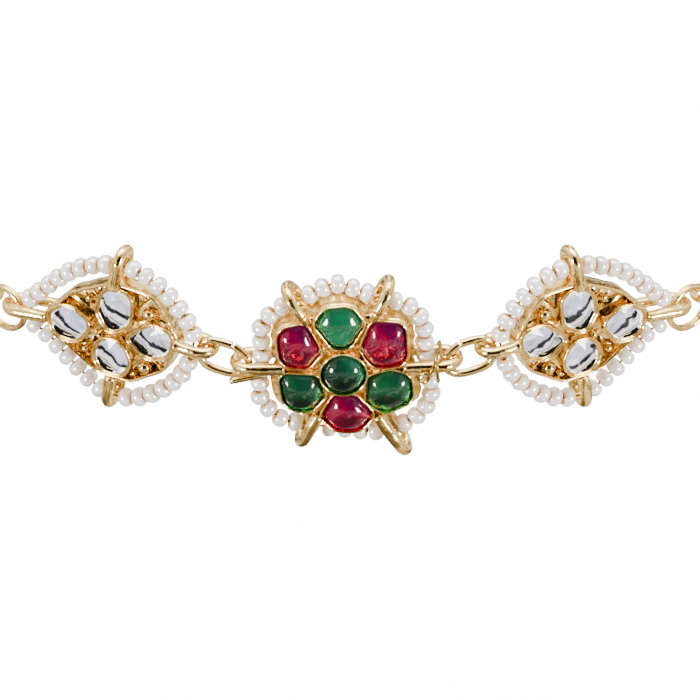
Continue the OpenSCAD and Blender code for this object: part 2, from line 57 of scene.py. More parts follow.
# Cups of the flower: corners as x, y and corner radius, or one row for a round cup
FLOWER_CUPS = {
    "centre": [(-0.1, -0.35, 3.7)],
    "top": [
        (-5.1, 9.0, 1.9), (-3.1, 12.0, 2.4), (1.2, 12.3, 2.4), (3.5, 9.0, 1.9), (0.8, 4.3, 1.6), (-1.9, 4.3, 1.6)
    ],
    "upper_right": [(4.6, 9.6, 1.9), (10.1, 9.1, 1.9), (10.6, 1.2, 2.2), (4.8, 0.3, 3.0), (2.7, 4.2, 1.6)],
    "lower_right": [
        (3.9, -1.3, 1.6), (7.6, 0.0, 2.6), (11.2, -1.0, 2.4), (11.4, -6.0, 2.0), (7.0, -8.4, 1.8), (3.6, -6.4, 1.9)
    ],
    "bottom": [
        (-1.8, -5.0, 1.0), (2.0, -5.0, 1.0), (5.1, -8.7, 1.4), (2.7, -11.9, 2.2), (-1.4, -11.9, 2.2), (-4.0, -9.2, 1.4)
    ],
    "lower_left": [(-11.0, -0.7, 1.5), (-4.5, -1.1, 1.5), (-3.0, -5.0, 2.0), (-5.7, -8.2, 2.2), (-9.9, -7.5, 3.0)],
    "upper_left": [(-11.3, 7.8, 2.4), (-6.3, 9.0, 1.6), (-3.8, 3.3, 1.6), (-6.1, 0.4, 2.2), (-10.6, 0.7, 2.6)],
}
# Summit of each stone's dome, x and y, and its glass
FLOWER_DOMES = {
    "centre": (-0.1, -0.35, "dark_green_glass"),
    "top": (-0.8, 8.0, "light_green_glass"),
    "upper_right": (6.8, 4.9, "red_glass"),
    "lower_right": (7.4, -4.1, "green_glass"),
    "bottom": (0.5, -8.3, "red_glass"),
    "lower_left": (-7.3, -4.4, "green_glass"),
    "upper_left": (-7.7, 4.4, "red_glass"),
}
CENTRE_RISE = 0.9
# Edge of the flower's web, and the small pits in it between the cups
FLOWER_WEB = [(-6.6, 9.8, 2), (5.4, 10.4, 2), (10.6, 0.4, 3), (6.4, -10.2, 2), (-5.0, -9.8, 2), (-10.2, -0.2, 3)]
FLOWER_PITS = [
    [(-3.3, 4.3), (-2.0, 3.9), (-2.9, 3.3)],
    [(2.1, 4.3), (1.2, 3.9), (2.2, 3.2)],
    [(4.2, 0.2), (4.4, -0.9), (5.0, -0.4)],
    [(2.9, -4.6), (3.1, -3.9), (3.5, -4.8)],
    [(-3.3, -3.9), (-2.6, -4.6), (-3.0, -5.2)],
    [(-5.2, -0.3), (-4.4, 0.3), (-4.2, -0.6)],
]
# Loops round the flower: angle, reach of the root, reach of the tip, bend of the tip and kind of root
FLOWER_LOOPS = [
    (180, 10.0, 18.2, 2.75, "plain"), (124.5, 10.6, 17.0, 3, "point"), (63.5, 10.6, 17.0, 3, "point"),
    (2, 10.0, 19.0, 2.75, "plain"), (301.5, 10.6, 20.1, 3, "plain"), (244.5, 10.0, 17.2, 3, "plain"),
]
FLOWER_ARM_Z = -0.5
# Ends of the short wire under the left loop
STUB_ENDS = [(-19.05, -2.5, -0.9), (-13.2, -1.25, -0.9)]
STUB_RADIUS = 0.55
# Back and front of the web between the cups
WEB_BACK = -2.6
WEB_FRONT = -1.0

# Stone openings of a drop, written like the flower's cups, and the middle of each polki stone
DROP_CUPS = {
    "top": [(0.9, 9.8, 2.2), (-2.7, 9.4, 2.0), (-2.2, 3.7, 2.0), (1.5, 1.6, 1.3), (3.3, 4.7, 2.0), (2.7, 8.0, 2.4)],
    "outer": [(12.6, 1.9, 1.7), (9.3, 4.4, 2.3), (5.2, 1.7, 1.4), (7.7, -2.0, 2.1), (11.6, -1.7, 1.9)],
    "inner": [(-2.1, 1.0, 0.8), (-6.5, 4.6, 2.8), (-10.3, 4.0, 1.6), (-9.5, -0.2, 2.1), (-5.4, -1.7, 2.5)],
    "bottom": [
        (2.9, -0.5, 2.3), (-0.7, -0.5, 2.1), (-2.0, -3.8, 1.7), (-0.8, -6.4, 2.1), (3.1, -6.4, 2.3), (4.1, -3.4, 1.9)
    ],
}
DROP_MIDDLES = {"top": (0.4, 6.1), "outer": (9.0, 1.1), "inner": (-6.6, 1.6), "bottom": (1.1, -3.4)}
# Edge of a drop's plate, the windows cut through it and the balls soldered on it
DROP_OUTLINE = [
    (14.0, 1.7, 1.2), (8.8, 7.4, 6), (1.0, 11.4, 8), (-7.1, 10.8, 4.7), (-11.9, 2.9, 3.5),
    (-9.2, -3.6, 5), (-2.5, -7.9, 5), (4.6, -7.2, 5), (12.7, -1.7, 2.5),
]
DROP_WINDOWS = [
    [(9.4, 5.9), (7.0, 7.3), (6.3, 5.7)],
    [(5.7, 8.2), (3.6, 8.9), (4.7, 6.9)],
    [(5.7, 5.0), (4.6, 4.9), (4.8, 3.4)],
    [(-3.8, 9.8), (-6.2, 9.3), (-4.2, 7.8)],
    [(-7.9, 7.8), (-9.0, 5.6), (-7.0, 5.6)],
    [(-2.7, -1.3), (-4.6, -2.5), (-3.5, -3.6)],
    [(-6.2, -2.9), (-8.4, -2.2), (-7.0, -3.9)],
    [(5.4, -1.6), (6.5, -2.9), (5.5, -2.9)],
    [(2.6, 0.9), (-0.7, 1.5), (-1.0, 0.6), (2.4, 0.4)],
]
DROP_BALLS = [
    (5.6, 6.4, 0.75), (3.7, -0.3, 0.8), (-5.7, 6.4, 1.15), (-4.8, -4.3, 1.15), (6.5, -3.8, 0.75), (-2.6, -6.3, 0.55)
]
# Loops round a drop: root x and y, tip x and y, bend of the tip and kind of root
DROP_LOOPS = [
    (13.2, 1.2, 21.4, 0.6, 2.3, "plain"), (0.35, 10.5, -0.5, 16.7, 2.15, "foot"),
    (-11.2, 2.4, -17.0, 1.9, 2.3, "foot"), (1.2, -7.2, 2.1, -13.4, 2.4, "plain"),
]
DROP_ARM_Z = -0.1
DROP_DEPTH = 3.6
DROP_PLATE = 1.4

# Routes of the bead wires, their partings as x, y, gap before and gap after, and the beads in each stretch
FLOWER_ROUTE = [
    (-7.9, 11.5, -3.3), (-4.6, 13.8, -3.3), (-1.1, 15.1, -3.3), (2.5, 13.9, -3.3), (6.2, 12.3, -3.3),
    (9.5, 11.5, -3.3), (11.85, 9.8, -3.3), (13.3, 6.7, -3.3), (13.45, 2.8, -3.3), (13.9, -1.3, -3.3),
    (14.6, -5.9, -3.3), (12.7, -10.2, -3.3), (7.8, -13.4, -3.4), (4.4, -14.1, -3.8), (1.6, -14.2, -4.5),
    (-2.0, -14.1, -4.8), (-5.7, -12.8, -4.2), (-10.4, -11.4, -3.3), (-14.0, -7.1, -3.3),
    (-13.8, -2.4, -3.3), (-13.6, 2.3, -3.3), (-13.9, 6.2, -3.3), (-11.5, 10.0, -3.3),
]
FLOWER_PARTINGS = [
    (-7.9, 11.5, 1.25, 1.25), (6.2, 12.3, 1.25, 1.2), (7.8, -13.4, 1.25, 1.25), (-5.7, -12.8, 2.2, 1.25)
]
FLOWER_BEAD_COUNTS = (5, 12, 4, 11)
DROP_ROUTE = [
    (18.2, 0.8, -2.0), (17.0, 2.9, -1.8), (15.0, 5.0, -1.7), (12.9, 7.15, -1.7), (10.8, 9.2, -1.7),
    (8.6, 10.95, -1.7), (6.2, 12.2, -1.7), (3.3, 13.4, -1.7), (0.0, 14.1, -1.7), (-2.8, 14.0, -1.7),
    (-5.2, 13.2, -1.7), (-7.4, 12.0, -1.7), (-9.5, 10.4, -1.7), (-11.2, 8.6, -1.7), (-12.7, 6.6, -1.7),
    (-13.6, 4.3, -1.9), (-13.5, 1.2, -2.1), (-12.2, -2.4, -2.3), (-10.7, -5.1, -2.3), (-8.7, -7.3, -2.3),
    (-5.8, -9.7, -2.3), (-2.5, -11.4, -2.3), (1.8, -12.3, -2.3), (5.0, -11.0, -2.3), (8.4, -8.5, -2.3),
    (11.3, -6.0, -2.3), (14.0, -3.6, -2.3), (16.2, -2.3, -2.2), (17.9, -0.8, -2.1),
]
DROP_PARTINGS = [(18.2, 0.8, 2.5, 1.25), (0.0, 14.1, 1.25, 1.25), (-13.5, 1.2, 1.9, 1.9), (1.8, -12.3, 1.25, 1.25)]
DROP_BEAD_COUNTS = (8, 7, 7, 7)

# Route of the wire tied round the flower's right loop
TIE_ROUTE = [
    (14.4, -0.3, 1.45), (13.7, 0.3, 1.3), (12.9, 0.1, 1.05), (12.4, -0.9, 0.7), (13.2, -1.8, 0.6),
    (14.0, -1.2, 0.75), (14.45, 0.3, 0.9), (15.25, 1.65, 0.38), (16.0, 1.9, -0.6), (16.1, 1.9, -2.2),
    (16.05, 1.9, -4.4), (15.95, 1.95, -6.2), (15.65, 0.5, -7.5), (15.5, -0.95, -6.0), (15.4, -0.5, -4.75),
    (15.35, 1.3, -4.5), (15.3, 2.0, -3.2), (15.2, 2.45, -1.4), (15.15, 2.5, -0.2), (15.4, 1.75, 0.98),
    (15.6, 0.3, 1.2), (15.7, -1.3, 0.75),
]
TIE_RADIUS = 0.29
# Radius of the melted ball at the tied wire's end
TIE_BALL = 0.38


# Outlines

def unit(v):
    return v / v.length


def heading(a):
    """Direction that stands at an angle."""
    return Vector((math.cos(a), math.sin(a)))


def rounded(rows, steps=8):
    """Points of an outline whose corners are rounded, or of a circle where it has one row."""
    if len(rows) == 1:
        x, y, r = rows[0]
        turns = [math.tau * k / 96 for k in range(96)]
        return [Vector((x + r * math.cos(a), y + r * math.sin(a))) for a in turns]
    points = []
    for i, (x, y, r) in enumerate(rows):
        p = Vector((x, y))
        to_a = unit(Vector(rows[i - 1][:2]) - p)
        to_b = unit(Vector(rows[(i + 1) % len(rows)][:2]) - p)
        half = to_a.angle(to_b) / 2
        middle = p + unit(to_a + to_b) * r / math.sin(half)
        first = p + to_a * r / math.tan(half) - middle
        last = p + to_b * r / math.tan(half) - middle
        start = math.atan2(first.y, first.x)
        sweep = (math.atan2(last.y, last.x) - start + math.pi) % math.tau - math.pi
        for k in range(steps + 1):
            a = start + sweep * k / steps
            points.append(middle + Vector((r * math.cos(a), r * math.sin(a))))
    return points


def spread(points, count):
    """The closed outline again, counter-clockwise and with its points evenly spaced."""
    area = sum(a.cross(b) for a, b in zip(points, points[1:] + points[:1]))
    loop = points if area > 0 else points[::-1]
    legs = [(b - a).length for a, b in zip(loop, loop[1:] + loop[:1])]
    total = sum(legs)
    out, i, gone = [], 0, 0.0
    for k in range(count):
        want = total * k / count
        while gone + legs[i] < want:
            gone += legs[i]
            i += 1
        share = (want - gone) / legs[i] if legs[i] else 0
        out.append(loop[i].lerp(loop[(i + 1) % len(loop)], share))
    return out


def grown(points, by):
    """An evenly spaced outline moved outward along its normals."""
    out = []
    for i, p in enumerate(points):
        way = unit(points[(i + 1) % len(points)] - points[i - 1])
        out.append(p + Vector((way.y, -way.x)) * by)
    return out


def raised(p, z):
    """A point of an outline, set at a height."""
    return p.to_3d() + Vector((0, 0, z))


def lift(points, z):
    return [raised(p, z) for p in points]


def curve_through(route, steps, closed):
    """Smooth curve through a list of points in space."""
    pts = [Vector(p) for p in route]
    n = len(pts)
    pick = (lambda i: pts[i % n]) if closed else (lambda i: pts[min(max(i, 0), n - 1)])
    out = []
    for i in range(n if closed else n - 1):
        a, b, c, d = (pick(i + j) for j in (-1, 0, 1, 2))
        for k in range(steps):
            t = k / steps
            out.append(0.5 * (
                2 * b + (c - a) * t + (2 * a - 5 * b + 4 * c - d) * t * t + (3 * b - a - 3 * c + d) * t ** 3
            ))
    return out if closed else out + [pts[-1]]


def bead_places(route, partings, counts):
    """Middle and direction of each bead, evenly spaced from one parting to the next."""
    curve = curve_through(route, 8, True)
    run = [0.0]
    for a, b in zip(curve, curve[1:] + curve[:1]):
        run.append(run[-1] + (b - a).length)
    total = run[-1]

    def place(s):
        s %= total
        i = max(j for j in range(len(curve)) if run[j] <= s)
        return curve[i].lerp(curve[(i + 1) % len(curve)], (s - run[i]) / (run[i + 1] - run[i]))

    starts = [
        run[min(range(len(curve)), key=lambda j: (curve[j].xy - Vector(p[:2])).length)] for p in partings
    ]
    places = []
    for k, count in enumerate(counts):
        after = (k + 1) % len(counts)
        begin = starts[k] + partings[k][3]
        end = starts[after] - partings[after][2]
        if end < begin:
            end += total
        for n in range(count):
            s = begin + (n + 0.5) * (end - begin) / count
            places.append((place(s), unit(place(s + BEAD_HALF) - place(s - BEAD_HALF))))
    return places


def wobble(p, scale, size):
    """Smooth unevenness of a cast surface at a point."""
    return noise.noise_vector(p * scale) * size


# Pieces

# Directions to start a tube's section from, of which one is never along its wire
NEAR_Z = Vector((0.21, 0.13, 0.97))
NEAR_X = Vector((1, 0.1, 0))
# Ease of a sheet's edges, and how far a cutting tool reaches past the sheet
SHEET_EASE = 0.12
CUT_PAST = 2
CUP_SIDES = 96


class Work:
    """Closed shells in a motif's own millimetres, made into one piece."""

    def __init__(self, uneven=0.0, grain=0.4):
        self.bm = bmesh.new()
        self.spot = self.bm.verts.layers.float_vector.new("spot")
        self.uneven = uneven
        self.grain = grain

    def points(self, rings):
        """The rings' points, made uneven."""
        return [[self.bm.verts.new(p + wobble(p, self.grain, self.uneven)) for p in ring] for ring in rings]

    def loft(self, rings, caps=(None, None)):
        """Skin over rings of the same number of points, closed at both ends, flat or to the caps' tips."""
        made = self.points(rings)
        n = len(made[0])
        faces = []
        for a, b in zip(made, made[1:]):
            for k in range(n):
                j = (k + 1) % n
                faces.append(self.bm.faces.new((a[k], a[j], b[j], b[k])))
        for ring, cap, turn in ((made[0], caps[0], -1), (made[-1], caps[1], 1)):
            if cap is None:
                faces.append(self.bm.faces.new(ring[::turn]))
                continue
            tip = self.bm.verts.new(cap)
            for k in range(n):
                j = (k + 1) % n
                trio = (ring[k], ring[j], tip)
                faces.append(self.bm.faces.new(trio[::turn]))
        for f in faces:
            f.smooth = True
        return faces

    def tube(self, path, radius, sides=16, square=2.0, up=None):
        """Wire along a path: radius may be a function of the share gone, square above 2 flattens its sides."""
        size = radius if callable(radius) else (lambda share: radius)
        n = len(path)
        side = None
        rings = []
        for i, p in enumerate(path):
            way = unit(path[min(i + 1, n - 1)] - path[max(i - 1, 0)])
            if up is not None:
                side = unit(way.cross(up))
            elif side is None:
                side = unit(way.cross(NEAR_Z if abs(way.z) < 0.9 else NEAR_X))
            else:
                side = unit(side - way * side.dot(way))
            over = side.cross(way)
            ring = []
            for k in range(sides):
                a = math.tau * k / sides
                c, s = math.cos(a), math.sin(a)
                r = size(i / max(n - 1, 1)) / (abs(c) ** square + abs(s) ** square) ** (1 / square)
                ring.append(p + (side * c + over * s) * r)
            rings.append(ring)
        self.loft(rings, caps=(path[0], path[-1]))

    def band(self, rings):
        """Skin that runs through its rings and joins the last one to the first."""
        made = self.points(rings)
        n = len(made[0])
        for a, b in zip(made, made[1:] + made[:1]):
            for k in range(n):
                j = (k + 1) % n
                self.bm.faces.new((a[k], a[j], b[j], b[k])).smooth = True
        return made

    def ball(self, middle, radius):
        """Round bead of metal."""
        rows, sides = 10, 20
        rings = []
        for i in range(1, rows):
            a = math.pi * i / rows
            rings.append([
                middle + Vector((
                    radius * math.sin(a) * math.cos(math.tau * k / sides),
                    radius * math.sin(a) * math.sin(math.tau * k / sides),
                    -radius * math.cos(a),
                )) for k in range(sides)
            ])
        self.loft(rings, caps=(middle - Vector((0, 0, radius)), middle + Vector((0, 0, radius))))

    def plate(self, points, low, high, cuts):
        """Flat sheet with an eased edge, cut through by a list of outlines."""
        ease = SHEET_EASE
        profile = ((-ease, low), (0, low + ease), (0, high - ease), (-ease, high))
        rings = [lift(grown(points, by), z) for by, z in profile]
        sheet = Work(self.uneven, self.grain)
        middle = sum(points, Vector((0, 0))) / len(points)
        sheet.loft(rings, caps=(raised(middle, low), raised(middle, high)))
        tool = Work()
        for cut in cuts:
            corners = spread([Vector(c) for c in cut], 24)
            tool.loft([lift(corners, z) for z in (low - CUT_PAST, high + CUT_PAST)])
        sheet_object = sheet.bare("sheet")
        tool_object = tool.bare("tool")
        cutter = sheet_object.modifiers.new("cut", "BOOLEAN")
        cutter.object = tool_object
        cutter.operation = "DIFFERENCE"
        cutter.solver = "EXACT"
        mesh = bpy.data.meshes.new_from_object(sheet_object.evaluated_get(bpy.context.evaluated_depsgraph_get()))
        self.bm.from_mesh(mesh)
        for o in (sheet_object, tool_object):
            bpy.data.objects.remove(o)
        bpy.data.meshes.remove(mesh)

    def bare(self, name):
        """The shells as one object, which ends the work on them."""
        bmesh.ops.recalc_face_normals(self.bm, faces=self.bm.faces)
        mesh = bpy.data.meshes.new(name)
        self.bm.to_mesh(mesh)
        self.bm.free()
        o = bpy.data.objects.new(name, mesh)
        bpy.context.scene.collection.objects.link(o)
        bpy.context.view_layer.update()
        return o

    def piece(self, name, node, place, slot, *materials):
        """Moves the shells to their place in the band and makes the piece that stands for a node."""
        self.bm.transform(place)
        o = self.bare(name)
        for m in materials:
            o.data.materials.append(m)
        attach(o, "root")
        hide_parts(node)


def shell_of(work, rows, profile, floor, back, seat_bands, flare=None):
    """A cup: its wall follows a profile of outward offset and height, from the seat round to the back.

    The floor and the first bands of the wall, counted from the floor, take the piece's second material.
    """
    outline = spread(rounded(rows), CUP_SIDES)
    middle = sum(outline, Vector((0, 0))) / CUP_SIDES
    rings = [lift(grown(outline, by), z) for by, z in profile]
    if flare:
        for ring, (by, z) in zip(rings, profile):
            share = flare(by, z)
            for p, q in zip(ring, outline):
                way = p.xy - q
                if share and way.length > 0:
                    room = min((p.xy - b).length for b in BEAD_RING) - BEAD_CLEAR
                    outer = min(max(q.length - FLARE_FROM, 0.0) / FLARE_EASE, 1.0)
                    p.xy += unit(way) * share * outer * min(max(room, 0.0), FLARE)
    faces = work.loft(rings, caps=(raised(middle, floor), raised(middle, back)))
    first = (len(rings) - 1) * CUP_SIDES
    base = faces[first:first + CUP_SIDES]
    for f in base:
        f.smooth = False
    for f in faces[:CUP_SIDES * seat_bands] + base:
        f.material_index = 1
        for v in f.verts:
            v[work.spot] = (v.co.x - middle.x, v.co.y - middle.y, v.co.z)


# Flower

# Section of a cup's wall from the seat over the rim and down behind it: offset outward and height
CUP_PROFILE = [
    (0.0, -1.9), (0.0, -0.62), (0.03, -0.3), (0.12, -0.08), (0.25, 0.02), (0.38, -0.05), (0.47, -0.26),
    (0.42, -0.52), (0.5, -0.74), (0.62, -0.98), (0.6, -1.28), (0.52, -1.5), (0.5, -1.9), (0.5, -2.4), (0.5, -2.9),
    (0.5, -3.6), (0.5, -4.6), (0.46, -6.2), (0.34, -6.55), (0.16, -6.6), (0.02, -6.4), (0.0, -2.9), (0.0, -2.6),
]
# Rows of it that rise with the centre cup
RIM_ROWS = 8
SEAT_FLOOR = -1.9
CUP_BACK = -2.6
# The wall's spread behind the rim, the room it leaves round each bead's middle, the distance from the flower's
# middle where it starts and the way over which it grows
FLARE = 1.25
BEAD_CLEAR = 1.78
FLARE_FROM = 8.0
FLARE_EASE = 1.5
# Height where it begins, the drop over which it grows, its end at the back and the rise over which it fades there
FLARE_TOP = -1.3
FLARE_DROP = 1.4
FLARE_END = -6.4
FLARE_FADE = 2.2


def wall_spread(by, z):
    """Share of the flare at a height: none at the rim, all of it beside the beads, none at the back."""
    if by < 0.49 or z > FLARE_TOP:
        return 0.0
    return min(1.0, (FLARE_TOP - z) / FLARE_DROP) ** 1.6 * min(1.0, (z - FLARE_END) / FLARE_FADE)


ARM_STEPS = 14
BEND_STEPS = 18
# Radius of a cast loop's wire and how much fuller its front arm is
LOOP_RADIUS = 0.95
LOOP_BELLY = 0.14


def arm_path(base, tip, arm_z, bend):
    """Middle line of a loop: out along the front arm, round the tip and back behind it."""
    way = tip - base
    run = way.length - bend
    ahead = unit(way)
    path = [raised(base + ahead * run * k / ARM_STEPS, arm_z) for k in range(ARM_STEPS)]
    for k in range(BEND_STEPS + 1):
        a = math.pi * k / BEND_STEPS
        out = base + ahead * (run + bend * math.sin(a))
        path.append(raised(out, arm_z - bend + bend * math.cos(a)))
    behind = arm_z - 2 * bend
    path += [raised(base + ahead * run * (1 - k / ARM_STEPS), behind) for k in range(1, ARM_STEPS + 1)]
    return path


def cast_loop(work, base, tip, arm_z, bend, root):
    """A cast loop of wire, fuller in the middle of its front arm; the root is plain, pointed or a foot."""
    path = arm_path(base, tip, arm_z, bend)
    run = (tip - base).length - bend
    total = 2 * run + math.pi * bend

    def size(share):
        gone = share * total
        belly = math.exp(-((gone - 0.62 * run) / (0.5 * run)) ** 2)
        r = LOOP_RADIUS + LOOP_BELLY * belly
        if root == "point":
            return r * (0.3 + 0.7 * min(1.0, gone / 3.4) ** 0.8)
        if root == "foot":
            return r * (1 + 0.3 * max(0.0, 1 - gone / 1.6) ** 2)
        return r

    if root == "point":
        for p in path[:7]:
            gone = (p.xy - base).length
            p.z += 0.4 * max(0.0, 1 - gone / 3.0) ** 1.5
    up = Vector(((tip - base).y, -(tip - base).x, 0))
    work.tube(path, size, sides=24, square=2.12, up=unit(up))


def flower_setting(metal, seat):
    work = Work(uneven=0.07, grain=0.55)
    for name, rows in FLOWER_CUPS.items():
        rise = CENTRE_RISE if name == "centre" else 0
        profile = [(by, z + rise if i < RIM_ROWS else z) for i, (by, z) in enumerate(CUP_PROFILE)]
        flare = wall_spread if name != "centre" else None
        shell_of(work, rows, profile, SEAT_FLOOR + rise, CUP_BACK, 0, flare=flare)
    work.plate(spread(rounded(FLOWER_WEB), 96), WEB_BACK, WEB_FRONT, FLOWER_PITS)
    for turn, root, reach, bend, kind in FLOWER_LOOPS:
        way = heading(math.radians(turn))
        cast_loop(work, way * root, way * reach, FLOWER_ARM_Z, bend, kind)
    ends = [Vector(p) for p in STUB_ENDS]
    work.tube([ends[0].lerp(ends[1], k / 8) for k in range(9)], STUB_RADIUS, sides=14, square=2.6)
    work.piece("flower_cast_setting", "flower_setting", FLOWER, "cast_gold", metal, seat)


def reach_of(outline, middle, way):
    """How far an outline lies from a point inside it, in one direction."""
    best = 0.0
    for a, b in zip(outline, outline[1:] + outline[:1]):
        edge = b - a
        bottom = way.cross(edge)
        if abs(bottom) < 1e-9:
            continue
        far = (a - middle).cross(edge) / bottom
        share = (a - middle).cross(way) / bottom
        if far > 0 and -1e-6 <= share <= 1 + 1e-6:
            best = max(best, far)
    return best


STONE_SIDES = 96
STONE_GAP = 0.08
STONE_EDGE = -1.45
DOME_TOP = 1.15
DOME_LEAN = -0.55


def flower_stone(name, glass):
    """Cushion-shaped glass that fills its cup and rises steeply from the edge to a round summit."""
    x, y, kind = FLOWER_DOMES[name]
    rise = CENTRE_RISE if name == "centre" else 0
    outline = grown(spread(rounded(FLOWER_CUPS[name]), 160), -STONE_GAP)
    middle = Vector((x, y))
    ways = [heading(math.tau * k / STONE_SIDES) for k in range(STONE_SIDES)]
    reach = [reach_of(outline, middle, w) for w in ways]
    even = sum(reach) / len(reach)
    low = SEAT_FLOOR + rise + STONE_GAP
    edge = STONE_EDGE + rise
    top = DOME_TOP + rise
    rings = [[raised(middle + w * r, low) for w, r in zip(ways, reach)]]
    steps = 26
    for k in range(steps):
        u = math.cos(math.pi / 2 * k / steps)
        height = (1 - u ** 2.15) ** 0.52
        mix = u ** 1.5
        lean = Vector((0, DOME_LEAN * (1 - u ** 2)))
        rings.append([
            raised(middle + lean + w * u * (r * mix + even * (1 - mix)), edge + (top - edge) * height)
            for w, r in zip(ways, reach)
        ])
    work = Work(uneven=0.04, grain=0.3)
    work.loft(rings, caps=(raised(middle, low), raised(middle + Vector((0, DOME_LEAN)), top)))
    for v in work.bm.verts:
        v[work.spot] = ((v.co.x - x) / even, (v.co.y - y) / even, v.co.z - edge)
    slot = "green_glass" if kind == "dark_green_glass" else kind
    work.piece(f"flower_glass_{name}", f"flower_stone_{name}", FLOWER, slot, glass[kind])


# Beads and wires

BEAD_HALF = 1.16
BEAD_RADIUS = 1.68
# Section of a bead from its hole outward and round: distance from the wire and place along it
BEAD_PROFILE = [
    (0.44, -0.9), (0.5, -1.08), (0.64, -1.16), (0.88, -1.16), (1.16, -1.06), (1.4, -0.84), (1.56, -0.54), (1.65, -0.25),
    (1.68, 0.0), (1.65, 0.25), (1.56, 0.54), (1.4, 0.84), (1.16, 1.06), (0.88, 1.16), (0.64, 1.16), (0.5, 1.08),
    (0.44, 0.9), (0.43, 0.0),
]
# Middles of the flower's beads, which the cup walls keep clear of
BEAD_RING = [p.xy for p, way in bead_places(FLOWER_ROUTE, FLOWER_PARTINGS, FLOWER_BEAD_COUNTS)]


def string_of_beads(name, node, route, partings, counts, place, material, seed):
    """Seed beads, each a little different, strung along their wire."""
    draw = random.Random(seed)
    work = Work(uneven=0.05, grain=0.8)
    sides = 24
    for middle, way in bead_places(route, partings, counts):
        tilt = Vector([draw.uniform(-0.05, 0.05) for _ in range(3)])
        way = unit(way + tilt)
        side = unit(way.cross(Vector((0, 0, 1))))
        over = side.cross(way)
        wide = draw.uniform(0.95, 1.02)
        long = draw.uniform(0.95, 1.02)
        skew = draw.uniform(-0.1, 0.1)
        rings = []
        for r, along in BEAD_PROFILE:
            ring = []
            for k in range(sides):
                a = math.tau * k / sides
                out = side * math.cos(a) + over * math.sin(a)
                lean = skew * math.cos(a) * (r - 0.45)
                ring.append(middle + out * r * wide + way * (along * long + lean))
            rings.append(ring)
        tone = draw.random()
        for ring, (r, along) in zip(work.band(rings), BEAD_PROFILE):
            for v in ring:
                v[work.spot] = (abs(along) / BEAD_HALF, r / BEAD_RADIUS, tone)
    work.piece(name, node, place, "seed_bead", material)


def tie_wire(material):
    work = Work(uneven=0.02, grain=0.6)
    path = curve_through(TIE_ROUTE, 8, False)
    work.tube(path, TIE_RADIUS, sides=12)
    work.ball(path[-1], TIE_BALL)
    work.piece("flower_tied_wire", "flower_tie_wire", FLOWER, "gold_wire", material)


# Drops

# Section of a collet, with a thin inner lip and a second rim outside it
COLLET_PROFILE = [
    (0.0, -2.2), (0.0, -0.8), (0.04, -0.52), (0.14, -0.3), (0.26, -0.24), (0.36, -0.36), (0.42, -0.62),
    (0.47, -0.36), (0.56, -0.1), (0.68, -0.04), (0.8, -0.14), (0.86, -0.42), (0.82, -1.0), (0.84, -3.0),
    (0.8, -3.5), (0.5, -3.6),
]
COLLET_FLOOR = -2.2
# Section of the rim band round a drop
RIM_PROFILE = [
    (-0.2, -3.5), (0.0, -3.3), (0.02, -2.4), (-0.02, -0.9), (-0.08, -0.5), (-0.2, -0.34), (-0.36, -0.3),
    (-0.52, -0.34), (-0.64, -0.5), (-0.7, -0.8), (-0.7, -3.0), (-0.6, -3.5),
]


def drop_setting(side, metal, foil):
    work = Work(uneven=0.06, grain=0.5)
    for rows in DROP_CUPS.values():
        # The collets' floors and lowest bands take the glowing leaf with painted reflection bands
        shell_of(work, rows, COLLET_PROFILE, COLLET_FLOOR, -DROP_DEPTH, 2)
    outline = spread(rounded(DROP_OUTLINE), 160)
    work.plate(outline, -DROP_DEPTH, DROP_PLATE - DROP_DEPTH, DROP_WINDOWS)
    work.band([lift(grown(outline, by), z) for by, z in RIM_PROFILE])
    for x, y, r in DROP_BALLS:
        work.ball(Vector((x, y, DROP_PLATE - DROP_DEPTH + r * 0.9)), r)
    for bx, by, tx, ty, bend, root in DROP_LOOPS:
        cast_loop(work, Vector((bx, by)), Vector((tx, ty)), DROP_ARM_Z, bend, root)
    place = SIDES[side] @ RIGHT
    work.piece(f"{side}_cast_drop", f"{side}_drop_setting", place, "cast_gold", metal, foil)


POLKI_LOW = -2.12
POLKI_GIRDLE = -0.7
POLKI_TABLE = -0.1
POLKI_TILT = 0.035
# Corners of each polki stone's table: turn from outward, and share of the way to the edge
POLKI_TABLE_CORNERS = [(20, 0.62), (75, 0.5), (130, 0.6), (178, 0.66), (225, 0.34), (300, 0.38)]


def polki_stone(side, name, glass):
    """Flat-cut clear stone: a tilted table, a long facet below it and small ones round the edge."""
    middle = Vector(DROP_MIDDLES[name])
    outline = grown(spread(rounded(DROP_CUPS[name]), 160), -STONE_GAP)
    count = 12
    edge = []
    for k in range(count):
        way = heading(math.tau * (k + 0.5) / count)
        edge.append(middle + way * reach_of(outline, middle, way))
    table = []
    for turn, share in POLKI_TABLE_CORNERS:
        way = heading(math.radians(turn))
        table.append(middle + way * reach_of(outline, middle, way) * share)
    work = Work()
    bm = work.bm
    low = [bm.verts.new(p) for p in lift(edge, POLKI_LOW)]
    girdle = [bm.verts.new(p) for p in lift(edge, POLKI_GIRDLE)]
    flat = [bm.verts.new(raised(p, POLKI_TABLE - POLKI_TILT * (p - middle).y)) for p in table]
    bm.faces.new(low[::-1])
    bm.faces.new(flat)
    for k in range(count):
        j = (k + 1) % count
        bm.faces.new((low[k], low[j], girdle[j], girdle[k]))
    per = count // len(table)
    for t in range(len(table)):
        u = (t + 1) % len(table)
        base = t * per + 1
        near = [girdle[(base + s) % count] for s in range(per + 1)]
        bm.faces.new((flat[t], near[0], near[1]))
        bm.faces.new((flat[t], near[1], flat[u]))
        bm.faces.new((flat[u], near[1], near[2]))
    for v in bm.verts:
        v[work.spot] = (v.co.x - middle.x, v.co.y - middle.y, v.co.z)
    place = SIDES[side] @ RIGHT
    work.piece(f"{side}_polki_{name}", f"{side}_drop_stone_{name}", place, "polki_glass", glass)


# Rings

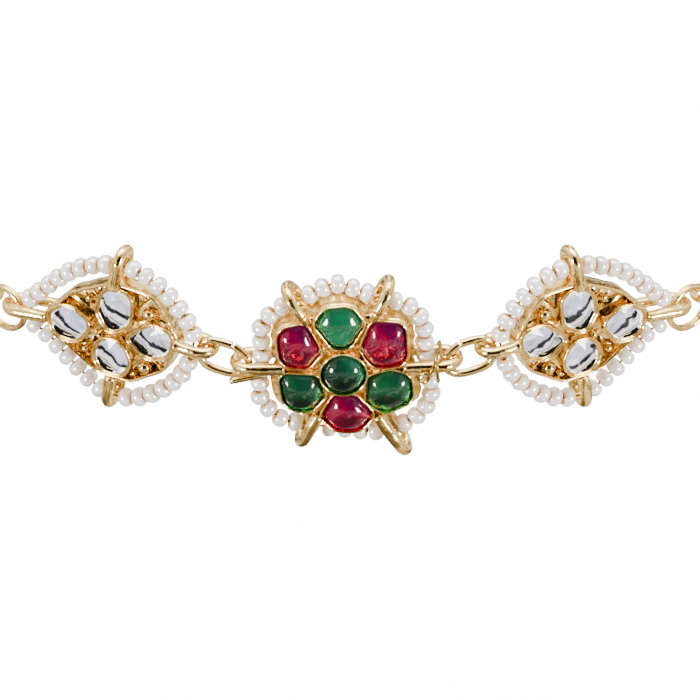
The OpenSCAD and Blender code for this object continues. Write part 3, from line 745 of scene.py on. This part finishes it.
# Place of a jump ring: shift seen from above, height of its middle and tilt in its own plane
JUMP_SHIFT = Vector((-0.1, 0.3))
JUMP_HEIGHT = 0.6
JUMP_TILT = math.radians(10)
# Corners of an oval ring, outward along the band and up, and how far each one stands out
JUMP_CORNERS = [
    (-0.95, 2.95, 0.16), (1.4, 2.95, 0.08), (3.3, 2.4, 0), (4.2, 0.8, 0), (4.1, -1.1, 0), (2.7, -2.6, 0),
    (0.2, -3.0, 0), (-2.4, -2.75, 0), (-4.0, -1.5, 0), (-4.25, 0.1, 0), (-3.4, 1.45, -0.06), (-1.2, 2.75, -0.16),
]
# The left jump ring's upper half is this much flatter than the right one's
LEFT_JUMP_TOP = 0.88
JUMP_RADIUS = 0.68
END_RING_PLACE = 18.6
END_RING_DROP = -1.15
END_RING_TURN = math.radians(38)
END_RING_R = 3.85
END_RING_WIRE = 0.5
# Turns of the doubled ring, where its wire starts and how far its ends stand apart
END_RING_TURNS = 2.02
END_RING_START = 2.6
END_RING_SPREAD = 0.92


def on_drop(x, z):
    """A point of the right drop, seen from above."""
    a = DROP_ANGLE
    r = HEAD_RADIUS + z
    return Vector((r * math.sin(a) + x * math.cos(a), -r * math.cos(a) + x * math.sin(a)))


def upright(at, height, turn):
    """Frame of a ring that stands upright at a place seen from above."""
    return (
        Matrix.Scale(MM, 4) @ Matrix.Translation((at.x, at.y, height)) @ Matrix.Rotation(turn, 4, "Z")
        @ Matrix.Rotation(math.radians(90), 4, "X")
    )


def jump_ring(side, metal):
    inner_tip = on_drop(DROP_LOOPS[2][2], DROP_ARM_Z - DROP_LOOPS[2][4])
    flower_tip = Vector((FLOWER_LOOPS[0][2] - FLOWER_SHIFT, FLOWER_LOOPS[0][3] - FLOWER_ARM_Z - HEAD_RADIUS))
    at = (inner_tip + flower_tip) / 2 + JUMP_SHIFT
    work = Work(uneven=0.03, grain=0.7)
    top = LEFT_JUMP_TOP if side == "left" else 1.0
    path = [Vector((x, y * top if y > 0 else y, z)) for x, y, z in JUMP_CORNERS]
    work.tube(curve_through(path, 10, False), JUMP_RADIUS, sides=20, square=2.3)
    place = SIDES[side] @ upright(at, JUMP_HEIGHT, DROP_ANGLE / 2) @ Matrix.Rotation(JUMP_TILT, 4, "Z")
    work.piece(f"{side}_oval_ring", f"{side}_jump_ring", place, "ring_gold", metal)


def end_ring(side, metal):
    way = heading(END_RING_TURN)
    at = on_drop(END_RING_PLACE, DROP_ARM_Z - DROP_LOOPS[0][4]) + way * END_RING_R
    steps = 150
    path = []
    for k in range(steps + 1):
        share = k / steps
        a = math.tau * (END_RING_TURNS * share) + END_RING_START
        path.append(Vector((END_RING_R * math.cos(a), END_RING_R * math.sin(a), END_RING_SPREAD * (share - 0.5))))
    work = Work(uneven=0.02, grain=0.7)
    work.tube(path, END_RING_WIRE, sides=16)
    place = SIDES[side] @ upright(at, END_RING_DROP, END_RING_TURN)
    work.piece(f"{side}_doubled_ring", f"{side}_end_ring", place, "ring_gold", metal)


# Materials

def shader(name, settings):
    """A material of one Principled shader, with the plain settings of its sockets."""
    m = bpy.data.materials.new(name)
    m.use_nodes = True
    m.node_tree.nodes.clear()
    out = m.node_tree.nodes.new("ShaderNodeOutputMaterial")
    skin = m.node_tree.nodes.new("ShaderNodeBsdfPrincipled")
    for label, value in settings.items():
        skin.inputs[label].default_value = value
    m.node_tree.links.new(skin.outputs["BSDF"], out.inputs["Surface"])
    return m, m.node_tree, skin


def dress(tree, skin, group, values):
    """Puts a group's colour and normal on a material's skin, and returns the group's node."""
    g = tree.nodes.new("ShaderNodeGroup")
    g.node_tree = group
    for label, value in values.items():
        g.inputs[label].default_value = (*value, 1) if isinstance(value, tuple) else value
    link(tree, g.outputs["Colour"], skin.inputs["Base Color"])
    link(tree, g.outputs["Normal"], skin.inputs["Normal"])
    return g


def link(tree, value, socket):
    """Gives a socket a number, a colour or another node's output."""
    if isinstance(value, float):
        socket.default_value = value
    elif isinstance(value, tuple):
        socket.default_value = (*value, 1)
    else:
        tree.links.new(value, socket)


def new_group(name, settings, rough=False):
    """A node group with its settings, a colour and a normal, and roughness on request; and its two end nodes."""
    group = bpy.data.node_groups.new(name, "ShaderNodeTree")
    for label, value in settings.items():
        kind = "NodeSocketColor" if isinstance(value, tuple) else "NodeSocketFloat"
        group.interface.new_socket(label, in_out="INPUT", socket_type=kind).default_value = value
    outputs = {"Colour": "NodeSocketColor", "Normal": "NodeSocketVector"}
    if rough:
        outputs["Roughness"] = "NodeSocketFloat"
    for label, kind in outputs.items():
        group.interface.new_socket(label, in_out="OUTPUT", socket_type=kind)
    return group, group.nodes.new("NodeGroupInput"), group.nodes.new("NodeGroupOutput")


def spot_of(group):
    """Where a point stands in its own stone, cup or bead."""
    spot = group.nodes.new("ShaderNodeAttribute")
    spot.attribute_name = "spot"
    return spot.outputs["Vector"]


def noise_of(group, scale, detail=3.0, distortion=0.0, vector=None):
    """Noise over the object's own coordinates, or over a vector."""
    n = group.nodes.new("ShaderNodeTexNoise")
    n.inputs["Detail"].default_value = detail
    n.inputs["Distortion"].default_value = distortion
    if vector is None:
        vector = group.nodes.new("ShaderNodeTexCoord").outputs["Object"]
    link(group, vector, n.inputs["Vector"])
    link(group, scale, n.inputs["Scale"])
    return n.outputs["Fac"]


def sums(group, kind, a, b):
    """Arithmetic on two numbers or outputs."""
    n = group.nodes.new("ShaderNodeMath")
    n.operation = kind
    link(group, a, n.inputs[0])
    link(group, b, n.inputs[1])
    return n.outputs[0]


def between(group, value, low, high, to_low=0.0, to_high=1.0):
    """A value from one range, held inside it, carried over to another."""
    n = group.nodes.new("ShaderNodeMapRange")
    link(group, value, n.inputs["Value"])
    for label, v in (("From Min", low), ("From Max", high), ("To Min", to_low), ("To Max", to_high)):
        link(group, v, n.inputs[label])
    return n.outputs["Result"]


def blend(group, share, a, b):
    """Mix of two colours, each a tuple or an output."""
    n = group.nodes.new("ShaderNodeMix")
    n.data_type = "RGBA"
    link(group, share, n.inputs["Factor"])
    link(group, a, n.inputs["A"])
    link(group, b, n.inputs["B"])
    return n.outputs["Result"]


def end_group(group, inp, out, colour, height, depth):
    """Ends a group with its colour and with relief of a depth in metres as its normal."""
    bump = group.nodes.new("ShaderNodeBump")
    bump.inputs["Distance"].default_value = depth
    link(group, height, bump.inputs["Height"])
    link(group, inp.outputs["Ripple"], bump.inputs["Strength"])
    link(group, bump.outputs["Normal"], out.inputs["Normal"])
    link(group, colour, out.inputs["Colour"])
    return group


def stops(group, value, rows):
    """Colours along a value, from rows of place and colour."""
    n = group.nodes.new("ShaderNodeValToRGB")
    ramp = n.color_ramp
    while len(ramp.elements) < len(rows):
        ramp.elements.new(0.5)
    for e, (place, colour) in zip(ramp.elements, rows):
        e.position = place
        e.color = (*colour, 1)
    link(group, value, n.inputs["Fac"])
    return n.outputs["Color"]


def uneven_metal():
    """Group: slow colour drift, hammered ripple and fine pits of a polished casting."""
    group, inp, out = new_group("uneven_metal", {
        "Bright": (1, 0.8, 0.5, 1), "Deep": (0.8, 0.5, 0.2, 1), "Scale": 500.0, "Ripple": 0.1,
        "Rough low": 0.06, "Rough high": 0.2,
    }, rough=True)
    broad = noise_of(group, inp.outputs["Scale"])
    fine = noise_of(group, sums(group, "MULTIPLY", inp.outputs["Scale"], 3.2), 4.0)
    height = sums(group, "ADD", broad, sums(group, "MULTIPLY", fine, 0.35))
    colour = blend(group, between(group, broad, 0.35, 0.65), inp.outputs["Bright"], inp.outputs["Deep"])
    rough = between(group, fine, 0.35, 0.7, inp.outputs["Rough low"], inp.outputs["Rough high"])
    link(group, rough, out.inputs["Roughness"])
    return end_group(group, inp, out, colour, height, 0.0005)


def metal(name, group, bright, deep, scale, ripple, rough):
    m, tree, skin = shader(name, {"Metallic": 1.0})
    g = dress(tree, skin, group, {
        "Bright": bright, "Deep": deep, "Scale": scale, "Ripple": ripple, "Rough low": rough[0], "Rough high": rough[1],
    })
    link(tree, g.outputs["Roughness"], skin.inputs["Roughness"])
    return m


# Slots of a glass's tints: two cloud tints, then painted reflection at the top, painted shading in the lower middle and
# painted shading round the lower edge
TINT_PLACES = ("First", "Second", "Top", "Painted middle shading", "Painted edge shading")


def clouds_and_painted_light():
    """Group: cloudy glass, with a painted reflection tint at the top, painted shading in the lower middle and painted
    shading round the lower edge, which is bright glints in most glasses.
    """
    white = {label: (1, 1, 1, 1) for label in TINT_PLACES}
    group, inp, out = new_group("clouds_and_painted_light", {**white, "Scale": 300.0, "Ripple": 0.05})
    split = group.nodes.new("ShaderNodeSeparateXYZ")
    link(group, spot_of(group), split.inputs[0])
    x, y = split.outputs["X"], split.outputs["Y"]
    swirl = noise_of(group, inp.outputs["Scale"], 3.0, 1.4)
    fleck = noise_of(group, sums(group, "MULTIPLY", inp.outputs["Scale"], 3.4), 2.0, 0.8)
    drift = between(group, swirl, 0.3, 0.7, -0.3, 0.3)
    down = sums(group, "ADD", y, 0.34)
    wide = sums(group, "MULTIPLY", x, 0.62)
    # Mask of painted shading in the lower middle of the stone
    middle_shading = sums(group, "ADD", sums(group, "MULTIPLY", wide, wide), sums(group, "MULTIPLY", down, down))
    middle_shading = sums(group, "ADD", middle_shading, sums(group, "MULTIPLY", drift, 0.35))
    out_from = sums(group, "ADD", sums(group, "MULTIPLY", x, x), sums(group, "MULTIPLY", y, y))
    edge = between(group, out_from, 0.45, 0.7)
    low = between(group, sums(group, "SUBTRACT", sums(group, "MULTIPLY", x, 0.5), y), -0.1, 0.4)
    # Mask of painted shading round the lower edge: bright painted glints in most glasses, painted shade in the light
    # green one
    edge_shading = sums(group, "MULTIPLY", sums(group, "MULTIPLY", edge, low), between(group, fleck, 0.5, 0.6))
    colour = blend(group, between(group, swirl, 0.38, 0.64), inp.outputs["First"], inp.outputs["Second"])
    # Mask of the painted reflection tint towards the top
    slope = sums(group, "ADD", sums(group, "MULTIPLY", y, 0.65), sums(group, "MULTIPLY", x, 0.75))
    high = sums(group, "ADD", slope, drift)
    colour = blend(group, between(group, high, 0.3, 0.75), colour, inp.outputs["Top"])
    colour = blend(group, between(group, middle_shading, 0.02, 0.22), inp.outputs["Painted middle shading"], colour)
    colour = blend(group, edge_shading, colour, inp.outputs["Painted edge shading"])
    return end_group(group, inp, out, colour, swirl, 0.0001)


def glass(name, group, tints):
    """Coloured glass: tints are its two cloud tints, a painted reflection tint at the top, painted shading in the lower
    middle and painted shading round the lower edge.
    """
    m, tree, skin = shader(
        name, {"Transmission Weight": 0.5, "IOR": 1.55, "Specular IOR Level": 0.25, "Roughness": 0.02}
    )
    dress(tree, skin, group, {**dict(zip(TINT_PLACES, tints)), "Scale": 260, "Ripple": 0.02})
    return m


def stone_seat():
    """Dark cup floor with a few bright flecks of leaf, seen through the glass."""
    settings = {"Scale": 520.0, "Ripple": 0.6}
    group, inp, out = new_group("seat_flecks", settings)
    fleck = noise_of(group, inp.outputs["Scale"], 2.0, 1.0)
    colour = stops(group, fleck, [
        (0.0, (0.05, 0.03, 0.02)), (0.5, (0.12, 0.08, 0.05)), (0.6, (0.35, 0.25, 0.15)), (0.68, (0.95, 0.8, 0.6)),
    ])
    end_group(group, inp, out, colour, fleck, 0.0006)
    m, tree, skin = shader("stone_seat", {"Metallic": 0.8, "Roughness": 0.3})
    dress(tree, skin, group, settings)
    return m


# Painted reflection bands across a polki stone, pale, dark and grey-violet as its mirror-like leaf would show them,
# from its lower outer side to its upper inner one
LEAF_REFLECTION_BANDS = [
    (0.0, (0.002, 0.002, 0.003)), (0.16, (0.004, 0.004, 0.004)), (0.2, (0.97, 0.97, 0.98)), (0.25, (0.12, 0.11, 0.12)),
    (0.29, (1, 1, 1)), (0.4, (0.97, 0.97, 1)), (0.43, (0.001, 0.001, 0.002)), (0.53, (0.006, 0.006, 0.01)),
    (0.56, (0.55, 0.58, 0.78)), (0.68, (0.72, 0.75, 0.92)), (0.8, (0.5, 0.53, 0.72)), (0.88, (0.95, 0.93, 0.92)),
]
# Millimetres from a stone's middle to where its bands end, and how far a crease pushes them
LEAF_REACH = 3.6
LEAF_CREASE = 0.9


def leaf_reflection_bands():
    """Group: slanting painted reflection bands of pale, dark and grey-violet, bent by the crinkle of the leaf in a
    clear stone.
    """
    group, inp, out = new_group("leaf_reflection_bands", {"Scale": 300.0, "Ripple": 0.4})
    slant = group.nodes.new("ShaderNodeVectorMath")
    slant.operation = "DOT_PRODUCT"
    slant.inputs[1].default_value = (-0.5, 0.86, 0)
    link(group, spot_of(group), slant.inputs[0])
    crease = noise_of(group, inp.outputs["Scale"], 3.0, 0.6)
    push = between(group, crease, 0.3, 0.7, -LEAF_CREASE, LEAF_CREASE)
    along = sums(group, "ADD", slant.outputs["Value"], push)
    colour = stops(group, between(group, along, -LEAF_REACH, LEAF_REACH), LEAF_REFLECTION_BANDS)
    return end_group(group, inp, out, colour, crease, 0.0005)


def glowing_silver_leaf(group):
    """Crinkled silver leaf under a clear stone, made to glow with its painted reflection bands: painted light."""
    m, tree, skin = shader("glowing_silver_leaf", {"Metallic": 0.15, "Roughness": 0.3, "Emission Strength": 2.6})
    g = dress(tree, skin, group, {"Scale": 210, "Ripple": 0.15})
    # The leaf glows with its painted reflection bands, though it is no lamp
    link(tree, g.outputs["Colour"], skin.inputs["Emission Color"])
    return m


def polki_glass(group):
    """Clear crystal that carries the leaf's painted reflection bands on its own surface."""
    m, tree, skin = shader(
        "polki_glass", {"Transmission Weight": 0.5, "IOR": 1.3, "Specular IOR Level": 1.0, "Roughness": 0.02}
    )
    dress(tree, skin, group, {"Scale": 210, "Ripple": 0.04})
    return m


def pearly(name):
    """Milky glass bead: pale and faintly warm outside, with painted golden-brown ends that stand in for the gold wire
    seen through the glass and the warm shade where the beads meet.
    """
    settings = {"Scale": 420.0, "Ripple": 0.12}
    group, inp, out = new_group("bead_milk_and_painted_ends", settings)
    split = group.nodes.new("ShaderNodeSeparateXYZ")
    link(group, spot_of(group), split.inputs[0])
    cloud = noise_of(group, inp.outputs["Scale"], 3.0, 1.0)
    body = blend(group, between(group, cloud, 0.38, 0.64), (0.98, 0.95, 0.93), (0.86, 0.78, 0.74))
    tone = between(group, split.outputs["Z"], 0.0, 1.0, 0.0, 0.35)
    body = blend(group, tone, body, (0.88, 0.81, 0.75))
    # Painted golden-brown ends: the wire seen through the glass and warm shade between the beads
    end = between(group, split.outputs["X"], 0.82, 1.0)
    end_group(group, inp, out, blend(group, end, body, (0.8, 0.5, 0.18)), cloud, 0.0001)
    m, tree, skin = shader(name, {
        "Metallic": 0.3, "Roughness": 0.2, "Transmission Weight": 0.15, "IOR": 1.7,
        "Subsurface Weight": 0.5, "Subsurface Radius": (1.0, 0.85, 0.7), "Subsurface Scale": 0.0008,
        "Coat Weight": 1.0, "Coat IOR": 1.7, "Coat Roughness": 0.1,
    })
    dress(tree, skin, group, settings)
    return m


# Stage

FLOOR_Z = -0.03
FLOOR_HALF = 3
# Light of the floor towards the camera, and scale of the pattern that the metal mirrors
FLOOR_GLOW = 16.0
FLOOR_DRIFT = 28.0
TENT_LIGHT = 2.45
# Where the tent opens, seen from the band
TENT_OPENING = Vector((0, -0.848, 0.53))
CAMERA_RANGE = 2.6
CAMERA_RISE = math.radians(32)
FAR_CLIP = 20
# The picture is 700 pixels wide, 6 pixels to a millimetre
FRAME_WIDTH = 700 / 6 * MM
SENSOR = 36.0
AIM_SHIFT = Vector((0.53, 3.55)) * MM


def camera():
    """Camera in front of the flower, a little above, far off and narrow like the photo's."""
    data = bpy.data.cameras.new("camera")
    data.sensor_width = SENSOR
    data.lens = SENSOR * CAMERA_RANGE / FRAME_WIDTH
    data.clip_end = FAR_CLIP
    o = bpy.data.objects.new("camera", data)
    bpy.context.scene.collection.objects.link(o)
    back = Vector((0, -math.cos(CAMERA_RISE), math.sin(CAMERA_RISE)))
    up = Vector((0, math.sin(CAMERA_RISE), math.cos(CAMERA_RISE)))
    aim = Vector((0, -HEAD_RADIUS * MM, 0)) + Vector((1, 0, 0)) * AIM_SHIFT.x + up * AIM_SHIFT.y
    o.location = aim + back * CAMERA_RANGE
    o.rotation_mode = "QUATERNION"
    o.rotation_quaternion = (-back).to_track_quat("-Z", "Y")
    bpy.context.scene.camera = o


def softbox(name, place, aim, size, power):
    data = bpy.data.lights.new(name, "AREA")
    data.shape = "RECTANGLE"
    data.size, data.size_y = size
    data.energy = power
    o = bpy.data.objects.new(name, data)
    bpy.context.scene.collection.objects.link(o)
    o.location = place
    o.rotation_mode = "QUATERNION"
    o.rotation_quaternion = (Vector(aim) - Vector(place)).to_track_quat("-Z", "Y")


def floor():
    """Pale floor, white to the camera; what the metal mirrors of it has soft light and dark patches."""
    mesh = bpy.data.meshes.new("floor")
    bm = bmesh.new()
    bmesh.ops.create_grid(bm, x_segments=1, y_segments=1, size=FLOOR_HALF)
    bm.to_mesh(mesh)
    bm.free()
    o = bpy.data.objects.new("floor", mesh)
    o.location.z = FLOOR_Z
    bpy.context.scene.collection.objects.link(o)
    m, tree, skin = shader("pale_floor", {"Roughness": 0.9, "Emission Color": (1, 1, 1, 1)})
    wide = tree.nodes.new("ShaderNodeVectorMath")
    wide.operation = "MULTIPLY"
    wide.inputs[1].default_value = (1.0, 0.45, 1.0)
    link(tree, tree.nodes.new("ShaderNodeTexCoord").outputs["Object"], wide.inputs[0])
    drift = noise_of(tree, FLOOR_DRIFT, 1.0, vector=wide.outputs["Vector"])
    shade = stops(tree, drift, [(0.0, (0.03, 0.02, 0.012)), (0.46, (0.05, 0.037, 0.025)), (0.56, (0.44, 0.41, 0.37))])
    link(tree, shade, skin.inputs["Base Color"])
    path = tree.nodes.new("ShaderNodeLightPath")
    glow = tree.nodes.new("ShaderNodeMath")
    glow.operation = "MULTIPLY"
    glow.inputs[1].default_value = FLOOR_GLOW
    link(tree, path.outputs["Is Camera Ray"], glow.inputs[0])
    link(tree, glow.outputs[0], skin.inputs["Emission Strength"])
    mesh.materials.append(m)


def surround():
    """White tent for the metal to mirror, with a dark opening towards the camera and a dark band low down."""
    world = bpy.data.worlds.new("tent")
    bpy.context.scene.world = world
    world.use_nodes = True
    tree = world.node_tree
    tree.nodes.clear()
    out = tree.nodes.new("ShaderNodeOutputWorld")
    light = tree.nodes.new("ShaderNodeBackground")
    place = tree.nodes.new("ShaderNodeTexCoord")
    towards = tree.nodes.new("ShaderNodeVectorMath")
    towards.operation = "DOT_PRODUCT"
    towards.inputs[1].default_value = unit(TENT_OPENING)
    link(tree, place.outputs["Generated"], towards.inputs[0])
    opening = stops(tree, towards.outputs["Value"], [
        (0.0, (1, 0.98, 0.95)), (0.3, (0.62, 0.6, 0.56)), (0.6, (0.5, 0.48, 0.45)), (0.84, (0.5, 0.48, 0.45)),
        (0.9, (0.025, 0.018, 0.01)), (1.0, (0.008, 0.005, 0.003)),
    ])
    split = tree.nodes.new("ShaderNodeSeparateXYZ")
    link(tree, place.outputs["Generated"], split.inputs[0])
    white, brown, card = (1, 1, 1), (0.12, 0.07, 0.035), (0.1, 0.07, 0.05)
    band = stops(tree, split.outputs["Z"], [(0.0, white), (0.05, white), (0.08, brown), (0.2, brown), (0.24, white)])
    across = between(tree, split.outputs["X"], -1.0, 1.0)
    cards = stops(tree, across, [
        (0.0, white), (0.24, white), (0.28, card), (0.34, card), (0.38, white),
        (0.62, white), (0.66, card), (0.72, card), (0.76, white),
    ])
    seen = opening
    for shade in (band, cards):
        both = tree.nodes.new("ShaderNodeMix")
        both.data_type = "RGBA"
        both.blend_type = "MULTIPLY"
        both.inputs["Factor"].default_value = 1.0
        link(tree, seen, both.inputs["A"])
        link(tree, shade, both.inputs["B"])
        seen = both.outputs["Result"]
    link(tree, seen, light.inputs["Color"])
    light.inputs["Strength"].default_value = TENT_LIGHT
    link(tree, light.outputs["Background"], out.inputs["Surface"])


# Making

camera()
floor()
surround()
HERE = Vector((0, -HEAD_RADIUS * MM, 0))
for name, way in (("left_box", -1), ("right_box", 1)):
    softbox(name, HERE + Vector((way * 0.77, -0.63, 0.08)), HERE, (0.22, 0.22), 24)
softbox("top_box", (0, 0.1, 1.05), HERE, (1.3, 0.7), 30)

ripple_group = uneven_metal()
clouds_and_light_group = clouds_and_painted_light()
GOLD = metal("cast_gold", ripple_group, (0.98, 0.74, 0.28), (0.88, 0.58, 0.14), 420, 0.3, (0.05, 0.2))
RING_GOLD = metal("ring_gold", ripple_group, (0.96, 0.71, 0.27), (0.84, 0.55, 0.13), 300, 0.25, (0.05, 0.16))
WIRE_GOLD = metal("gold_wire", ripple_group, (0.55, 0.36, 0.07), (0.26, 0.15, 0.02), 900, 0.2, (0.12, 0.3))
SEAT = stone_seat()
reflection_bands_group = leaf_reflection_bands()
# Glowing leaf with painted reflection bands, under the polki stones
LEAF = glowing_silver_leaf(reflection_bands_group)
# Tints of each glass: two cloud tints, painted reflection at the top, painted shade in the lower middle and painted
# glints at the lower edge; the light green glass has a painted lighter middle and painted shade at the edge
TINTS = {
    "green_glass": (
        (0.006, 0.075, 0.025), (0.003, 0.03, 0.012), (0.005, 0.05, 0.025), (0.0015, 0.01, 0.004), (0.05, 0.6, 0.15)
    ),
    "dark_green_glass": (
        (0.004, 0.04, 0.018), (0.002, 0.022, 0.01), (0.005, 0.08, 0.04), (0.001, 0.007, 0.004), (0.04, 0.45, 0.16)
    ),
    "light_green_glass": (
        (0.008, 0.13, 0.05), (0.005, 0.09, 0.035), (0.008, 0.11, 0.05), (0.01, 0.15, 0.06), (0.004, 0.03, 0.012)
    ),
    "red_glass": ((0.22, 0.0, 0.03), (0.12, 0.0, 0.02), (0.08, 0.0, 0.035), (0.045, 0.0, 0.008), (0.7, 0.01, 0.07)),
}
GLASS = {name: glass(name, clouds_and_light_group, tints) for name, tints in TINTS.items()}
POLKI = polki_glass(reflection_bands_group)
# Beads with painted golden-brown ends
PEARL = pearly("seed_bead")

flower_setting(GOLD, SEAT)
for stone in FLOWER_DOMES:
    flower_stone(stone, GLASS)
string_of_beads(
    "flower_bead_string", "flower_beads", FLOWER_ROUTE, FLOWER_PARTINGS, FLOWER_BEAD_COUNTS, FLOWER, PEARL, 3
)
tie_wire(WIRE_GOLD)
for side, turn in SIDES.items():
    drop_setting(side, GOLD, LEAF)
    for stone in DROP_CUPS:
        polki_stone(side, stone, POLKI)
    string_of_beads(
        f"{side}_bead_string", f"{side}_drop_beads", DROP_ROUTE, DROP_PARTINGS, DROP_BEAD_COUNTS, turn @ RIGHT, PEARL,
        5 if side == "left" else 7,
    )
    jump_ring(side, RING_GOLD)
    end_ring(side, RING_GOLD)

CAD_FINISH = {
    "flower_bead_wire": WIRE_GOLD, "left_drop_bead_wire": WIRE_GOLD, "right_drop_bead_wire": WIRE_GOLD,
    "left_chain": RING_GOLD, "right_chain": RING_GOLD, "clasp_hook": RING_GOLD, "clasp_ring": RING_GOLD,
}
for node, finish in CAD_FINISH.items():
    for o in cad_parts[node] if isinstance(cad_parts[node], list) else [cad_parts[node]]:
        for s in o.material_slots:
            s.material = finish
        if not o.material_slots:
            o.data.materials.append(finish)
